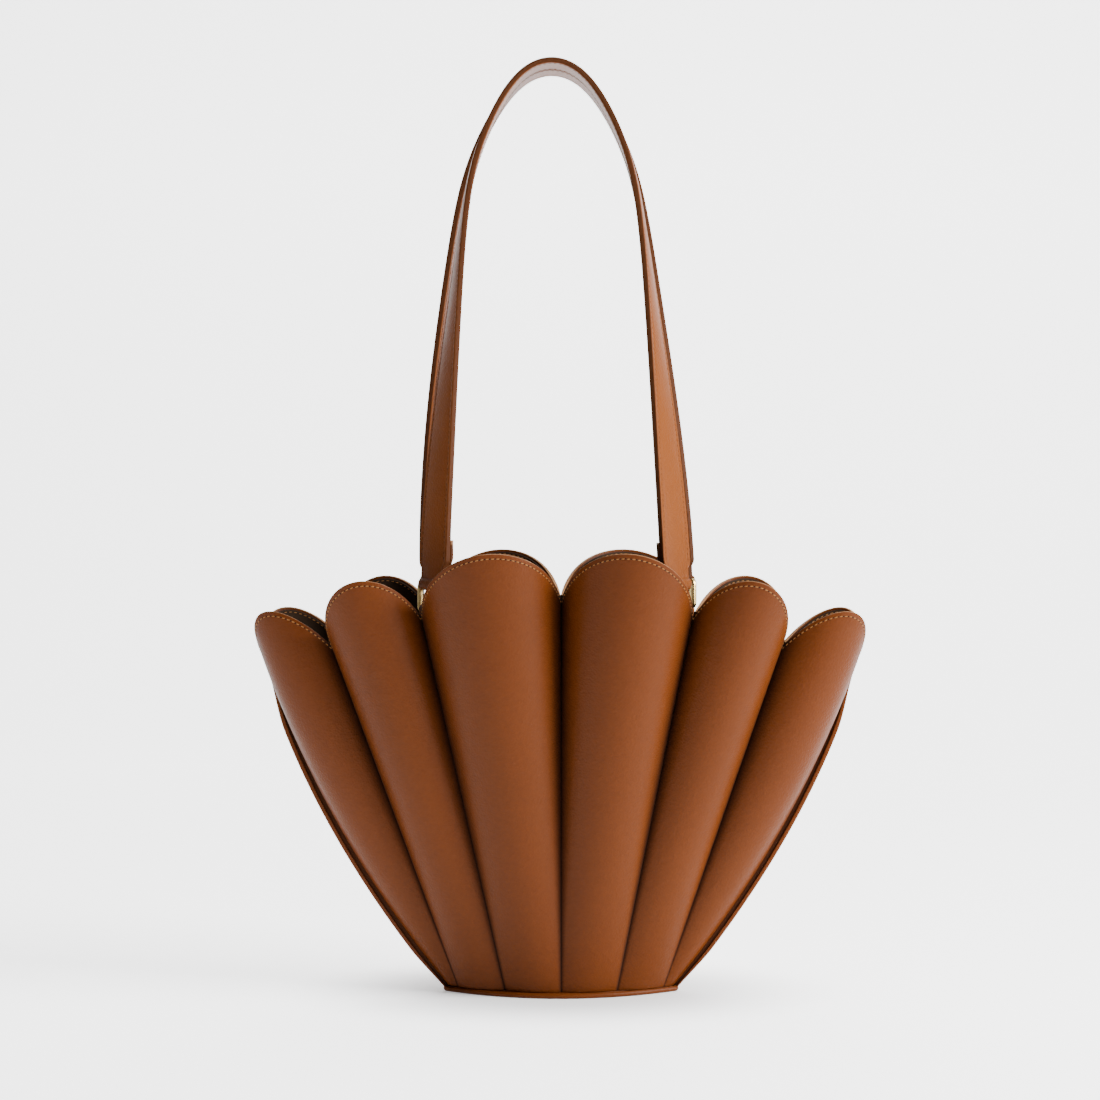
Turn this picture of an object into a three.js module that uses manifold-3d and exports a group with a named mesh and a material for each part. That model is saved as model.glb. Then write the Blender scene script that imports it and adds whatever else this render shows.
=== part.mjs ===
// A small tote of smooth leather in the shape of a shell: two panels of six flutes that spread from a
// lens-shaped base to a scalloped mouth, a dark lining, and two shoulder straps on brass loops.
// Millimetres, +Z up, +X to the right, the front towards -Y, the base on the plane Z = 0.
import * as THREE from "three";
import { mergeVertices } from "three/addons/utils/BufferGeometryUtils.js";
import Module from "manifold-3d";

// Sizes of the bag's body
const bagHeight = 215; // floor to the top of the middle scallops
const mouthWidth = 282; // between the two side seams at the mouth
const mouthDepth = 68; // between the front and the back middle seam at the mouth
const footLength = 111; // between the two side seams at the base
const footDepth = 42; // between the front and the back middle seam at the base
const mouthShift = -2.1; // of the seams between the middle and the sides, as the flutes differ a little
const scallopHeight = 26; // of a middle scallop, above the line between its seams
const sideBow = 10; // how far a side seam bows outwards at half its height
const footBulge = 0.1; // a flute's bulge at the base, as a share of its width
const mouthBulge = 0.415; // the same at the mouth
const bulgeGrowth = 0.7; // below 1, a flute rounds out early on its way up
const leatherThickness = 1.8;
const liningThickness = 0.8;
const liningDrop = 1.2; // how far the lining's edge lies below the leather's
const liningStart = 0.2; // where the lining begins, as a share of a seam's height
const seamGap = 0.3; // between neighbouring pieces

// Sizes of the base and of the strips that bind the side seams
const baseThickness = 2.6;
const baseOverhang = 1.2; // of the base panel, past the seams
const baseTipInset = 2; // from a side seam's foot in to the tip of the base's outline
const bindingOffset = 1; // from a side seam to its binding
const bindingReach = 3.5;
const bindingThickness = 3.2;
const bindingTop = 0.985; // where the binding ends, as a share of the side seam's height
const bindingTaper = 0.8; // where it begins to narrow, as such a share
const bindingEndReach = 1.2;

// Sizes of the brass loops and of the tabs that hold them
const loopInnerWidth = 19;
const loopInnerHeight = 9.8;
const loopBar = 2.6; // the bar's size in the loop's plane
const loopDepth = 2.2; // the bar's size across that plane
const loopClearance = 1.6; // from the tops of the inner seams up to the loops
const loopTurn = 52; // degrees by which each loop turns away from the bag's width
const tabPly = 1;
const tabLength = 22; // from the bar that a tab holds to its lower end

// Sizes of the straps
const strapWidth = 22;
const strapPly = 1.4; // a strap is two plies thick, and three where its end is turned back
const strapRise = 251.5; // from the loops' top bars to the middle of the arch
const strapGap = 1; // between the two straps at the top of the arch
const strapTopShift = -4.6; // the arches stand a little to the left
const strapTwist = 2.5; // above 1, a strap turns edge-on early on its way up
const strapEndWidth = 18; // of the narrowed end that goes through a loop
const strapNarrow = 8; // length of the narrowed end
const strapEndTaper = 2; // length of the slanted corners above it
const foldLength = 20; // of the end that is turned back on the strap's inner face

// One row for each seam, from the middle of a panel to its side. foot and mouth are shares of the
// foot length and the mouth width, the depths of the foot depth and the mouth depth, height of the
// bag's height, bow of the side seam's bow, shift of the mouth's shift.
const seamRows = [
  { seam: "middle", foot: 0, mouth: 0, footDepth: 1, mouthDepth: 1,
    height: 0.898, bow: 0, shift: 0 },
  { seam: "inner", foot: 0.49, mouth: 0.461, footDepth: 0.76, mouthDepth: 0.941,
    height: 0.86, bow: 0, shift: 1 },
  { seam: "outer", foot: 0.908, mouth: 0.77, footDepth: 0.24, mouthDepth: 0.647,
    height: 0.793, bow: 0, shift: 1 },
  { seam: "side", foot: 1, mouth: 1, footDepth: 0, mouthDepth: 0,
    height: 0.73, bow: 1, shift: 0 },
];
// One row for each flute of half a panel. scallop is a share of the middle scallop's height.
const fluteRows = [
  { flute: "middle", scallop: 1 },
  { flute: "inner", scallop: 0.9 },
  { flute: "outer", scallop: 0.86 },
];
// One row for each loop, with side -1 on the left as seen from outside its panel. slide is how far it
// sits inwards of its seam, along its bars, and sway how far the strap's leg above it bows outwards.
const loopRows = [
  { panel: "front", side: -1, slide: 1.6, sway: 0 },
  { panel: "front", side: 1, slide: 4.8, sway: 0 },
  { panel: "back", side: -1, slide: 4.3, sway: 0 },
  { panel: "back", side: 1, slide: -7.5, sway: 3 },
];
// One row for each point of a strap's leg. rise is a share of the strap's rise, spread of half the
// distance between its two loops.
const legRows = [
  { rise: 0, spread: 1 },
  { rise: 0.14, spread: 0.968 },
  { rise: 0.34, spread: 0.9 },
  { rise: 0.53, spread: 0.82 },
  { rise: 0.72, spread: 0.722 },
  { rise: 0.83, spread: 0.61 },
  { rise: 0.93, spread: 0.41 },
  { rise: 0.985, spread: 0.2 },
];

// How finely the curved pieces are cut into flats
const fluteAcross = 8;
const fluteUp = 7;
const bindingUp = 12;
const baseAlong = 12;
const baseRound = 4;
const weltSides = 6;
const strapSteps = 48;
const cornerSteps = 2;

const panelSide = seamRows.length - 1; // the place of the right side seam; the left one's is negative
const wallFoot = baseThickness + seamGap;
const liningInset = leatherThickness + seamGap;
const wallDepth = liningInset + liningThickness;
const barOffset = (loopInnerHeight + loopBar) / 2;
const innerSeam = seamRows.find((row) => row.seam === "inner");
const loopFoot = innerSeam.height * bagHeight + loopClearance;
const loopHeight = loopFoot + loopBar + loopInnerHeight / 2; // centre of the loops above the floor
const turnAngle = THREE.MathUtils.degToRad(loopTurn);
const holeAcross = loopDepth / 2 + seamGap; // half the hole in a strap or tab that goes round a bar
const holeUp = loopBar / 2 + seamGap;
const tubeStart = holeUp + seamGap; // where a strap or tab leaves the tube round its bar
const tabReach = holeAcross + tabPly; // from a bar's middle to the face of its tab

const mix = THREE.MathUtils.lerp;
const vector = (x, y, z) => new THREE.Vector3(x, y, z);
const steps = (count, from, to) => Array.from({ length: count + 1 }, (_, i) => mix(from, to, i / count));

const wasm = await Module();
wasm.setup();

const leatherLook = { color: 0x90562f, roughness: 0.45, metalness: 0 };
const liningLook = { color: 0x2d1c12, roughness: 0.9, metalness: 0 };
const brassLook = { color: 0xc8af6e, roughness: 0.25, metalness: 1 };

// A closed body through sections of equally many points, each anticlockwise as seen from the next.
// A ring joins its last section to its first. The flats of both long sides of a section are halved
// along the same diagonals, so that nested walls keep their gap.
function loft(sections, ring = false) {
  const count = sections[0].length;
  const joints = ring ? sections.length : sections.length - 1;
  const index = [];
  for (let i = 0; i < joints; i++) {
    const next = (i + 1) % sections.length;
    for (let j = 0; j < count; j++) {
      const a = i * count + j;
      const b = i * count + ((j + 1) % count);
      const c = next * count + j;
      const d = next * count + ((j + 1) % count);
      if (j < count / 2) index.push(a, b, d, a, d, c);
      else index.push(a, b, c, b, d, c);
    }
  }
  if (!ring) {
    const end = (sections.length - 1) * count;
    for (const [a, b, c] of capFaces(count)) {
      index.push(c, b, a, a + end, b + end, c + end);
    }
  }
  const geometry = new THREE.BufferGeometry().setFromPoints(sections.flat());
  geometry.setIndex(index);
  return geometry;
}

// The halves of a section run along its two long sides, so that rungs between them close it
function capFaces(count) {
  const faces = [];
  for (let i = 0; i < count / 2 - 1; i++) {
    faces.push([i, i + 1, count - 2 - i], [i, count - 2 - i, count - 1 - i]);
  }
  return faces;
}

function solidOf(geometry) {
  const bare = geometry.clone();
  bare.deleteAttribute("normal");
  bare.deleteAttribute("uv");
  const merged = mergeVertices(bare);
  const vertProperties = new Float32Array(merged.attributes.position.array);
  const triVerts = new Uint32Array(merged.index.array);
  return new wasm.Manifold(new wasm.Mesh({ numProp: 3, vertProperties, triVerts }));
}

function geometryOf(solid) {
  const mesh = solid.getMesh();
  const geometry = new THREE.BufferGeometry();
  geometry.setAttribute("position", new THREE.BufferAttribute(mesh.vertProperties, mesh.numProp));
  geometry.setIndex(new THREE.BufferAttribute(mesh.triVerts, 1));
  return geometry;
}

// A point of a seam of the front panel. place counts the seams from the middle one, up is 0 at the
// base and 1 at the mouth, and may run on past the mouth.
function seamPoint(place, up) {
  const row = seamRows[Math.abs(place)];
  const bow = row.bow * sideBow * (1 - (2 * up - 1) ** 2);
  const reach = mix(row.foot * footLength, row.mouth * mouthWidth, up) / 2 + bow;
  const depth = mix(row.footDepth * footDepth, row.mouthDepth * mouthDepth, up) / 2;
  const across = Math.sign(place) * reach + row.shift * mouthShift * up;
  return vector(across, -depth, mix(wallFoot, row.height * bagHeight, up));
}

// The straight line across a flute, from the seam at the given place to the next one on its right
function chord(place, up) {
  const left = seamPoint(place, up);
  const right = seamPoint(place + 1, up);
  const along = right.clone().sub(left).normalize();
  const out = vector(along.y, -along.x, 0).normalize();
  const middle = left.clone().add(right).multiplyScalar(0.5);
  return { middle, along, out, half: left.distanceTo(right) / 2 };
}

// Moves a point off the plane in which two neighbouring flutes meet, to its own side of the gap
function keepClear(point, place, up, side) {
  const out = vector(Math.sign(place), 0, 0);
  if (Math.abs(place) < panelSide) {
    out.copy(chord(place - 1, up).out).add(chord(place, up).out).normalize();
  }
  const sideways = vector(-side * out.y, side * out.x, 0);
  const clearance = point.clone().sub(seamPoint(place, up)).dot(sideways);
  point.addScaledVector(sideways, Math.max(seamGap / 2 - clearance, 0));
}

// A point of a flute, which is an arc between its two seams at every height. across is -1 at the
// left seam and 1 at the right one, inset leads into the bag.
function flutePoint(place, up, across, inset) {
  const { middle, along, out, half } = chord(place, up);
  const bulge = 2 * half * mix(footBulge, mouthBulge, up ** bulgeGrowth);
  const radius = (half * half + bulge * bulge) / (2 * bulge);
  const angle = across * 2 * Math.atan(bulge / half);
  const point = middle
    .addScaledVector(out, bulge - radius + (radius - inset) * Math.cos(angle))
    .addScaledVector(along, (radius - inset) * Math.sin(angle));
  keepClear(point, place, up, 1);
  keepClear(point, place + 1, up, -1);
  return point;
}

// How far up a flute goes at a place across it, which draws its scallop
function scallopTop(place, across, drop) {
  const height = chord(place, 1).middle.z - wallFoot;
  const row = fluteRows[Math.min(Math.abs(place), Math.abs(place + 1))];
  const rise = row.scallop * scallopHeight * Math.cos((Math.PI / 2) * across);
  return (height + rise - drop) / height;
}

// The wall of a flute between an outer and an inner inset, without the rows of its foot below start
function fluteWall(place, { outer, inner, start, drop }) {
  const line = (share, inset) =>
    steps(fluteAcross, -1, 1).map((across) =>
      flutePoint(place, share * scallopTop(place, across, drop), across, inset),
    );
  const rows = steps(fluteUp, 0, 1).filter((share) => share >= start);
  return loft(rows.map((share) => [...line(share, outer), ...line(share, inner).reverse()]));
}

// The points of the base's outline with their directions outwards, anticlockwise as seen from above.
// The lens follows the feet of the seams, and the outset rounds its two tips.
function baseOutline(outset) {
  const long = footLength / 2 - baseTipInset;
  const deep = footDepth / 2;
  const front = steps(baseAlong, -1, 1).map((share) => ({
    point: vector(share * long, -deep * (1 - share * share), 0),
    out: vector((2 * share * deep) / long, -1, 0).normalize(),
  }));
  const last = front[front.length - 1];
  const tipAngle = Math.atan2(last.out.y, last.out.x);
  const tip = steps(baseRound, tipAngle, -tipAngle)
    .slice(1, -1)
    .map((angle) => ({ point: last.point, out: vector(Math.cos(angle), Math.sin(angle), 0) }));
  const right = [...front, ...tip];
  const left = right.map(({ point, out }) => ({
    point: point.clone().negate(),
    out: out.clone().negate(),
  }));
  return [...right, ...left].map(({ point, out }) => ({
    point: point.clone().addScaledVector(out, outset),
    out,
  }));
}

function basePanel() {
  const outline = baseOutline(baseOverhang).map(({ point }) => new THREE.Vector2(point.x, point.y));
  return new THREE.ExtrudeGeometry(new THREE.Shape(outline), { depth: baseThickness, bevelEnabled: false });
}

// The round welt that goes round the edge of the base panel
function baseWelt() {
  const radius = baseThickness / 2;
  const angles = steps(weltSides, 0, 2 * Math.PI).slice(1);
  const sections = baseOutline(baseOverhang + seamGap + radius).map(({ point, out }) =>
    angles.map((angle) => {
      const turned = angle - Math.PI / weltSides;
      const centre = vector(point.x, point.y, radius * (1 + Math.cos(turned)));
      return centre.addScaledVector(out, radius * Math.sin(turned));
    }),
  );
  return loft(sections, true);
}

// The strip of leather that binds the right side seam
function sideBinding() {
  const half = bindingThickness / 2;
  const cut = half / 2;
  return loft(
    steps(bindingUp, 0, bindingTop).map((up) => {
      const { x, z } = seamPoint(panelSide, up);
      const near = x + bindingOffset;
      const narrowing = THREE.MathUtils.smoothstep(up, bindingTaper, bindingTop);
      const far = near + mix(bindingReach, bindingEndReach, narrowing);
      return [
        vector(near, -half, z),
        vector(far - cut, -half, z),
        vector(far, -half + cut, z),
        vector(far, half - cut, z),
        vector(far - cut, half, z),
        vector(near, half, z),
      ];
    }),
  );
}

// Where a loop stands, the way its bars run and the way it faces, as on the front panel. Its tab
// rests against the end of the lining at the seam.
function loopFrame({ side, slide, sway }) {
  const bar = vector(side * Math.cos(turnAngle), Math.sin(turnAngle), 0);
  const out = vector(side * Math.sin(turnAngle), -Math.cos(turnAngle), 0);
  const centre = seamPoint(side, 1);
  centre.x -= side * wallDepth;
  centre.addScaledVector(bar, -slide).addScaledVector(out, -(tabReach + seamGap));
  centre.z = loopHeight;
  return { side, sway, centre, bar, out };
}

// Moves a geometry that is centred on its own origin, with its bar along X, to a loop's place
function placed(geometry, frame, lift) {
  const angle = Math.atan2(frame.bar.y, frame.bar.x);
  return geometry.rotateZ(angle).translate(frame.centre.x, frame.centre.y, frame.centre.z + lift);
}

function roundedRectangle(halfWidth, halfHeight, corner) {
  const x = halfWidth - corner;
  const y = halfHeight - corner;
  return new THREE.Shape()
    .absarc(x, y, corner, 0, Math.PI / 2)
    .absarc(-x, y, corner, Math.PI / 2, Math.PI)
    .absarc(-x, -y, corner, -Math.PI, -Math.PI / 2)
    .absarc(x, -y, corner, -Math.PI / 2, 0);
}

// An upright plate of the given shape, centred on the origin, that is as deep as given along Y
function plateOf(shape, depth) {
  return new THREE.ExtrudeGeometry(shape, { depth, bevelEnabled: false, curveSegments: cornerSteps })
    .translate(0, 0, -depth / 2)
    .rotateX(Math.PI / 2);
}

function brassLoop(frame) {
  const width = loopInnerWidth / 2;
  const height = loopInnerHeight / 2;
  const outer = plateOf(roundedRectangle(width + loopBar, height + loopBar, loopBar), loopDepth);
  const inner = plateOf(roundedRectangle(width, height, loopBar / 2), 2 * loopDepth);
  return placed(geometryOf(solidOf(outer).subtract(solidOf(inner))), frame, 0);
}

// The part of a strap or tab that goes round a bar of a loop
function barTube(ply, width, frame, lift) {
  const tube = (across, up, corner, long) => {
    const plate = plateOf(roundedRectangle(across, up, corner), long).rotateZ(Math.PI / 2);
    return solidOf(placed(plate, frame, lift));
  };
  const hole = tube(holeAcross, holeUp, seamGap / 2, 2 * width);
  return tube(holeAcross + ply, holeUp + ply, holeAcross, width).subtract(hole);
}

// A flat section with slanted corners. along points the way of the next section, outer and inner are
// the heights of its two faces above its own middle line.
function ribbonSection({ point, along, across, half, outer, inner }) {
  const wide = across.clone().addScaledVector(along, -across.dot(along)).normalize();
  const out = along.clone().cross(wide);
  const cut = (outer - inner) / 5;
  const corner = (x, y) => point.clone().addScaledVector(wide, x).addScaledVector(out, y);
  return [
    corner(-half, inner + cut),
    corner(-half + cut, inner),
    corner(half - cut, inner),
    corner(half, inner + cut),
    corner(half, outer - cut),
    corner(half - cut, outer),
    corner(-half + cut, outer),
    corner(-half, outer - cut),
  ];
}

// A tab goes round the lower bar and down inside the bag, beside the seam
function tab(frame) {
  const down = seamPoint(frame.side, 0).sub(seamPoint(frame.side, 1));
  const tail = [tubeStart, tabLength].map((reach) => {
    const point = frame.centre.clone().addScaledVector(down, (reach - tubeStart) / -down.z);
    point.z = loopHeight - barOffset - reach;
    return ribbonSection({
      point,
      along: vector(0, 0, -1),
      across: frame.bar.clone().multiplyScalar(frame.side),
      half: strapEndWidth / 2,
      outer: tabReach,
      inner: tabReach - 2 * tabPly,
    });
  });
  return geometryOf(barTube(tabPly, strapEndWidth, frame, -barOffset).add(solidOf(loft(tail))));
}

// The middle line of a strap, from its left loop over the arch to its right loop
function strapLine(frames, shift) {
  const topDepth = -(strapWidth + strapGap) / 2;
  const start = loopHeight + barOffset;
  const middle = (frames[0].centre.x + frames[1].centre.x) / 2;
  const leg = ({ side, sway, centre }) =>
    legRows.map(({ rise, spread }) => {
      const bow = side * sway * Math.sin(Math.PI * rise);
      const across = mix(middle, shift, rise) + (centre.x - middle) * spread + bow;
      return vector(across, mix(centre.y, topDepth, rise), start + strapRise * rise);
    });
  const top = vector(shift, topDepth, start + strapRise);
  const points = [...leg(frames[0]), top, ...leg(frames[1]).reverse()];
  return new THREE.CatmullRomCurve3(points, false, "centripetal");
}

// The strap's flat section at a distance along its line. It turns from the way of the loops' bars to
// the bag's depth at the top of the arch, and has a third ply where its end is turned back.
function strapSection(line, at, length) {
  const point = line.getPointAt(at / length);
  const fromEnd = Math.min(at, length - at);
  const side = at < length / 2 ? -1 : 1;
  const rise = THREE.MathUtils.clamp((point.z - loopHeight - barOffset) / strapRise, 0, 1);
  const turn = side * (Math.PI / 2 - turnAngle) * Math.cos((Math.PI / 2) * rise) ** strapTwist;
  const widening = THREE.MathUtils.clamp((fromEnd - strapNarrow) / strapEndTaper, 0, 1);
  return ribbonSection({
    point,
    along: line.getTangentAt(at / length),
    across: vector(Math.sin(turn), Math.cos(turn), 0),
    half: mix(strapEndWidth, strapWidth, widening) / 2,
    outer: strapPly,
    inner: fromEnd > foldLength ? -strapPly : -2 * strapPly,
  });
}

function strap(frames, shift) {
  const line = strapLine(frames, shift);
  const length = line.getLength();
  const start = [tubeStart, strapNarrow, strapNarrow + strapEndTaper, foldLength, foldLength + seamGap];
  const end = start.map((at) => length - at).reverse();
  const free = foldLength + strapWidth / 2;
  const places = [...start, ...steps(strapSteps, free, length - free), ...end];
  const ribbon = solidOf(loft(places.map((at) => strapSection(line, at, length))));
  const tubes = frames.map((frame) => barTube(strapPly, strapEndWidth, frame, barOffset));
  return geometryOf(ribbon.add(tubes[0]).add(tubes[1]));
}

function piece(name, geometry, look, turned = false) {
  if (turned) geometry.rotateZ(Math.PI);
  geometry.computeVertexNormals();
  const mesh = new THREE.Mesh(geometry, new THREE.MeshStandardMaterial(look));
  mesh.name = name;
  return mesh;
}

// A panel with its lining, loops, tabs and strap. The back panel is made like the front one and
// turned half round. Its flutes count from the left as seen from outside.
function panel(name, shift, turned) {
  const pieces = [];
  for (let place = -panelSide; place < panelSide; place++) {
    const number = place + panelSide + 1;
    const leather = { outer: 0, inner: leatherThickness, start: 0, drop: 0 };
    const lining = { outer: liningInset, inner: wallDepth, start: liningStart, drop: liningDrop };
    pieces.push(piece(`${name}_flute_${number}`, fluteWall(place, leather), leatherLook, turned));
    pieces.push(piece(`${name}_lining_${number}`, fluteWall(place, lining), liningLook, turned));
  }
  const frames = loopRows.filter((row) => row.panel === name).map(loopFrame);
  for (const frame of frames) {
    const word = (frame.side < 0) === turned ? "right" : "left";
    pieces.push(piece(`${name}_loop_${word}`, brassLoop(frame), brassLook, turned));
    pieces.push(piece(`${name}_tab_${word}`, tab(frame), leatherLook, turned));
  }
  pieces.push(piece(`${name}_strap`, strap(frames, shift), leatherLook, turned));
  return pieces;
}

const bag = new THREE.Group();
bag.add(
  ...panel("front", strapTopShift, false),
  ...panel("back", -strapTopShift, true),
  piece("side_binding_right", sideBinding(), leatherLook),
  piece("side_binding_left", sideBinding(), leatherLook, true),
  piece("base_panel", basePanel(), leatherLook),
  piece("base_welt", baseWelt(), leatherLook),
);

export default bag;
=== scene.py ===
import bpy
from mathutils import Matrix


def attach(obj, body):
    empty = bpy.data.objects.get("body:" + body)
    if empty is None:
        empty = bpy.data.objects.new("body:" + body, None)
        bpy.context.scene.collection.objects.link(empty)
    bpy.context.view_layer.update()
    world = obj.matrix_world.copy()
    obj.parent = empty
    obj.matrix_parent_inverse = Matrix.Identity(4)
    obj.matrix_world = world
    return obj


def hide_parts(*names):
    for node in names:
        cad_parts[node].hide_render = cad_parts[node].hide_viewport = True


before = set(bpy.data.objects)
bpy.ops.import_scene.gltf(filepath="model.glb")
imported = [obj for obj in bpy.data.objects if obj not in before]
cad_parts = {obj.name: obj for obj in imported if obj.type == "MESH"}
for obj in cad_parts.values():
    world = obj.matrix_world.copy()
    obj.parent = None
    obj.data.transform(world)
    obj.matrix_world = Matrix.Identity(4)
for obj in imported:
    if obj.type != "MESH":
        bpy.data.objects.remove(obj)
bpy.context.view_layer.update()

# %% [markdown]
# The bag is a small leather tote that opens like a shell. Two panels of six rounded flutes run
# from a small lens-shaped base to a scalloped mouth. All its forms come from a few measures,
# so this lesson starts with those measures and works every piece out from them. They could
# also be read back from the solids, but named sizes are easier to follow and to change.

# %% The measures of the body
import math
from collections import namedtuple

import bmesh
import bpy
import numpy as np
from mathutils import Vector

mm = 0.001
bag_height = 215 * mm
mouth_width = 282 * mm
mouth_depth = 68 * mm
mouth_shift = -2.1 * mm
foot_length = 111 * mm
foot_depth = 42 * mm
scallop_height = 26 * mm
side_bow = 10 * mm
foot_bulge = 0.1
mouth_bulge = 0.415
bulge_growth = 0.7
leather_thickness = 1.8 * mm
seam_gap = 0.3 * mm
base_thickness = 2.6 * mm
wall_foot = base_thickness + seam_gap

Seam = namedtuple("Seam", "foot mouth foot_depth mouth_depth height bow shift")
seams = [
    Seam(foot=0, mouth=0, foot_depth=1, mouth_depth=1, height=0.898, bow=0, shift=0),
    Seam(foot=0.49, mouth=0.461, foot_depth=0.76, mouth_depth=0.941, height=0.86, bow=0, shift=1),
    Seam(foot=0.908, mouth=0.77, foot_depth=0.24, mouth_depth=0.647, height=0.793, bow=0, shift=1),
    Seam(foot=1, mouth=1, foot_depth=0, mouth_depth=0, height=0.73, bow=1, shift=0),
]
scallops = [1, 0.9, 0.86]
side_place = len(seams) - 1
places = range(-side_place, side_place)
panels = (("front", False), ("back", True))
print("flutes in a panel:", len(places))

# %% [markdown]
# The camera stands where the photographer stood: a little left of the bag's middle, just above
# the mouth, and about 1.4 m away. It is set first, so that every later piece can be judged
# from there. A longer lens would flatten the bag more, and a shorter one would show more of the
# inside of the mouth than can be seen.

# %% The camera
camera_left = -5.4 * mm
camera_place = Vector((camera_left, -1.4, 240 * mm))
camera_target = Vector((camera_left, 0, 216 * mm))
camera_data = bpy.data.cameras.new("camera")
camera_data.lens = 93.7
camera_data.sensor_width = 36
camera = bpy.data.objects.new("camera", camera_data)
camera.location = camera_place
camera.rotation_euler = (camera_target - camera_place).to_track_quat("-Z", "Y").to_euler()
bpy.context.scene.collection.objects.link(camera)
bpy.context.scene.camera = camera
print("camera to the bag:", round((camera_target - camera_place).length, 3), "m")

# %% [markdown]
# Every piece of this bag is a strip or a tube, so one helper can make them all: it joins
# closed sections, one after the other, into a skin. Bevelled curves could do the round ones,
# but not the walls of the flutes, whose sections change shape all the way.
# A section's first half and second half face each other, and rungs between them close its ends.
# Numbers that only a material needs, such as how near a cut edge is, ride along as attributes.

# %% A body through sections
def add_object(name, mesh):
    made = bpy.data.objects.new(name, mesh)
    bpy.context.scene.collection.objects.link(made)
    return made


def body(name, sections, ring=False, sharp=40):
    """Join closed sections, an array of [section, point, xyz], into one mesh object."""
    count, size = sections.shape[:2]
    rows = np.arange(count if ring else count - 1)[:, None]
    columns = np.arange(size)[None, :]
    after = (rows + 1) % count
    right = (columns + 1) % size
    faces = np.stack(
        [rows * size + columns, rows * size + right, after * size + right, after * size + columns],
        axis=-1,
    ).reshape(-1, 4).tolist()
    if not ring:
        last = (count - 1) * size
        for j in range(size // 2 - 1):
            rung = [j, j + 1, size - 2 - j, size - 1 - j]
            faces.append(rung[::-1])
            faces.append([last + k for k in rung])
    mesh = bpy.data.meshes.new(name)
    mesh.from_pydata(sections.reshape(-1, 3).tolist(), [], faces)
    shell = bmesh.new()
    shell.from_mesh(mesh)
    bmesh.ops.recalc_face_normals(shell, faces=shell.faces[:])
    shell.to_mesh(mesh)
    shell.free()
    mesh.shade_smooth()
    mesh.set_sharp_from_angle(angle=math.radians(sharp))
    made = add_object(name, mesh)
    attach(made, "root")
    return made


def mark(piece, name, values):
    """Keep one number for each point of a piece, for its material to read."""
    layer = piece.data.attributes.new(name, "FLOAT", "POINT")
    layer.data.foreach_set("value", np.ascontiguousarray(values, dtype=np.float32).ravel())


def dress(piece, material, node=None):
    """Give a piece its material and slot, and hide the solid that it takes the place of."""
    piece.data.materials.append(material)
    if node:
        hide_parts(node)


print("pieces are skinned through sections, with sharp edges kept")

# %% [markdown]
# Shader maths reads best as plain sums. This class wraps a socket of a node, so that
# `1 - mask` or `colour * shade` adds the nodes that work it out. Numbers go through Math,
# vectors through Vector Math and colours through Mix. Every other kind of node is made by one
# method, which takes its settings first and then the values or links of its sockets.

# %% Sums of sockets
class Wire:
    def __init__(self, tree, socket):
        self.tree = tree
        self.socket = socket

    @classmethod
    def node(cls, tree, kind, settings=None, sockets=None, output=0):
        made = tree.nodes.new(kind)
        for name, value in (settings or {}).items():
            setattr(made, name, value)
        for name, value in (sockets or {}).items():
            if isinstance(value, Wire):
                tree.links.new(value.socket, made.inputs[name])
            else:
                made.inputs[name].default_value = value
        return cls(tree, made.outputs[output])

    @staticmethod
    def sort(side):
        """Say whether a side of a sum is a colour, a vector or a number."""
        if isinstance(side, Wire):
            return side.socket.type
        if isinstance(side, tuple):
            return "RGBA" if len(side) == 4 else "VECTOR"
        return "VALUE"

    @staticmethod
    def colour(side):
        """Turn a plain number into the grey that it stands for."""
        return (side, side, side, 1) if isinstance(side, (int, float)) else side

    def combine(self, operation, other, swapped=False):
        first, second = (other, self) if swapped else (self, other)
        sorts = (self.sort(first), self.sort(second))
        if "RGBA" in sorts:
            settings = {"data_type": "RGBA", "blend_type": operation}
            sides = {0: 1.0, 6: self.colour(first), 7: self.colour(second)}
            return self.node(self.tree, "ShaderNodeMix", settings, sides, output=2)
        kind = "ShaderNodeVectorMath" if "VECTOR" in sorts else "ShaderNodeMath"
        return self.node(self.tree, kind, {"operation": operation}, {0: first, 1: second})

    def __add__(self, other):
        return self.combine("ADD", other)

    def __radd__(self, other):
        return self.combine("ADD", other, swapped=True)

    def __sub__(self, other):
        return self.combine("SUBTRACT", other)

    def __rsub__(self, other):
        return self.combine("SUBTRACT", other, swapped=True)

    def __mul__(self, other):
        return self.combine("MULTIPLY", other)

    def __rmul__(self, other):
        return self.combine("MULTIPLY", other, swapped=True)


print("sums of sockets are ready")

# %% [markdown]
# The leather is smooth calf with a satin finish. Close up it has fine pores and its dye is
# slightly cloudy. The folds between the flutes are darkened with painted shade and made matt,
# and where it is cut its edge is a lighter tan. Bundled image scans would show real pores, but
# they would repeat, and a pattern worked out from noise never does. The pores are a bump from
# two patterns of different size. The attribute "edge" says where the leather is cut, "raw" where
# it is left unpainted, and the fold attribute how much painted shade darkens it in a fold, so one
# material serves the faces and the edges of a piece.

# %% Leather
tan_edge = (0.36, 0.19, 0.095, 1)
panel_brown = (0.079, 0.018, 0.0018, 1)
strap_brown = (0.135, 0.037, 0.007, 1)
strap_paint = (0.06, 0.018, 0.005, 1)
trim_brown = (0.09, 0.0215, 0.003, 1)
trim_paint = (0.12, 0.036, 0.008, 1)


def new_material(name):
    """Make a material, and give it with a wire of its places and its surface node."""
    material = bpy.data.materials.new(name)
    material.use_nodes = True
    tree = material.node_tree
    place = Wire.node(tree, "ShaderNodeTexCoord", output=3)
    return material, place, tree.nodes["Principled BSDF"]


def connect(wire, surface, name):
    wire.tree.links.new(wire.socket, surface.inputs[name])


def noise(place, scale, detail):
    sockets = {"Scale": scale, "Detail": detail, "Vector": place}
    return Wire.node(place.tree, "ShaderNodeTexNoise", {}, sockets)


def attribute(place, name):
    return Wire.node(place.tree, "ShaderNodeAttribute", {"attribute_name": name}, output=2)


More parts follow.
